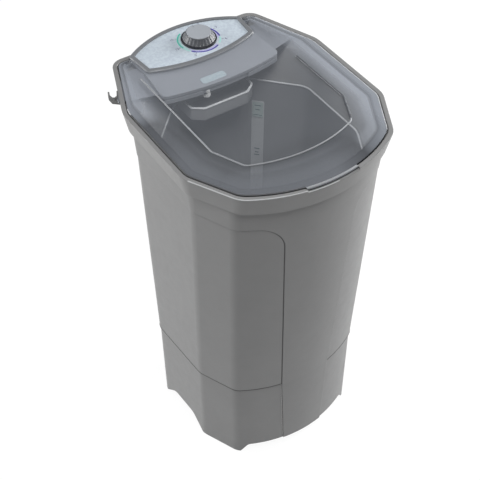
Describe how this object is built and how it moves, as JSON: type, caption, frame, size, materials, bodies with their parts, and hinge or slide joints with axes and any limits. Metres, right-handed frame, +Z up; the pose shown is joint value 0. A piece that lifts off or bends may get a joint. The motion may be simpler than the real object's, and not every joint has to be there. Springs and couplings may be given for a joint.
{
  "type": "washing machine",
  "caption": "Semi-automatic top-loading washing machine with a tapered plastic cabinet, clear hinged lid, rear timer console, wash tub and belt-driven pulsator.",
  "frame": {"origin": "on the floor, under the middle of the outer box", "axes": "+X to the right seen from the front, +Y to the rear, +Z up"},
  "size_m": [0.5, 0.6186, 0.953],
  "materials": {
    "cabinet_plastic": "satin",
    "tub_plastic": "satin",
    "clear_smoke": "gloss",
    "bezel_grey": "satin",
    "panel_white": "satin",
    "knob_grey": "satin",
    "cap_silver": "satin",
    "spout_white": "satin",
    "level_clear": "gloss",
    "pulsator_plastic": "satin",
    "drain_plastic": "satin",
    "rubber": "matt",
    "zinc_steel": "satin",
    "plate_steel": "satin",
    "bush_bronze": "satin",
    "housing_alloy": "matt",
    "winding_copper": "gloss",
    "capacitor_can": "satin"
  },
  "bodies": {
    "cabinet": {"top_frame": "cabinet_plastic", "body_shell": "cabinet_plastic", "base_skirt": "cabinet_plastic", "foot_pads": "rubber", "rear_cover": "cabinet_plastic", "rear_cover_screws": "zinc_steel", "wash_tub": "tub_plastic", "tub_screws": "zinc_steel", "console_housing": "tub_plastic", "console_cover": "cabinet_plastic", "cover_screws": "zinc_steel", "panel_bezel": "bezel_grey", "panel_overlay": "panel_white", "timer_body": "drain_plastic", "fascia_plate": "panel_white", "dispenser_tray": "tub_plastic", "inlet_nozzle": "spout_white", "inlet_tube": "spout_white", "inlet_fitting": "spout_white", "cord_gland": "drain_plastic", "level_strip": "level_clear", "shaft_housing": "housing_alloy", "shaft_bushes": "bush_bronze", "shaft_seal": "rubber", "housing_screws": "zinc_steel", "drive_plate": "plate_steel", "plate_screws": "zinc_steel", "drive_belt": "rubber", "motor_stator": "plate_steel", "motor_windings": "winding_copper", "motor_end_caps": "plate_steel", "motor_screws": "zinc_steel", "capacitor": "capacitor_can", "capacitor_clip": "zinc_steel", "capacitor_screw": "zinc_steel", "drain_elbow": "drain_plastic", "drain_outlet": "drain_plastic", "drain_clamp": "zinc_steel", "drain_grate": "spout_white", "hose_hook": "cabinet_plastic"},
    "lid": {"lid": "clear_smoke", "hinge_pins": "zinc_steel"},
    "knob": {"timer_knob": "knob_grey", "knob_cap": "cap_silver", "timer_shaft": "zinc_steel"},
    "pulsator": {"pulsator_disc": "pulsator_plastic", "pulsator_cap": "pulsator_plastic", "drive_shaft": "zinc_steel", "large_pulley": "housing_alloy", "pulley_nut": "zinc_steel"},
    "rotor": {"motor_shaft": "zinc_steel", "motor_rotor": "plate_steel", "motor_pulley": "drain_plastic", "motor_fan": "drain_plastic"}
  },
  "joints": [
    {"name": "lid_hinge", "type": "hinge", "parent": "cabinet", "child": "lid", "pos_m": [0, 0.253, 0.9185], "axis": [-1, 0, 0], "range_deg": [0, 100]},
    {"name": "timer_turn", "type": "hinge", "parent": "cabinet", "child": "knob", "pos_m": [0.02, 0.236, 0.93], "axis": [0, 0, 1], "range_deg": [-330, 0]},
    {"name": "pulsator_spin", "type": "hinge", "parent": "cabinet", "child": "pulsator", "pos_m": [0, -0.045, 0.2], "axis": [0, 0, 1], "continuous": true},
    {"name": "motor_spin", "type": "hinge", "parent": "cabinet", "child": "rotor", "pos_m": [0, 0.085, 0.2], "axis": [0, 0, 1], "continuous": true}
  ],
  "couplings": [
    {"joint": "motor_spin", "follows": "pulsator_spin", "ratio": 5}
  ]
}
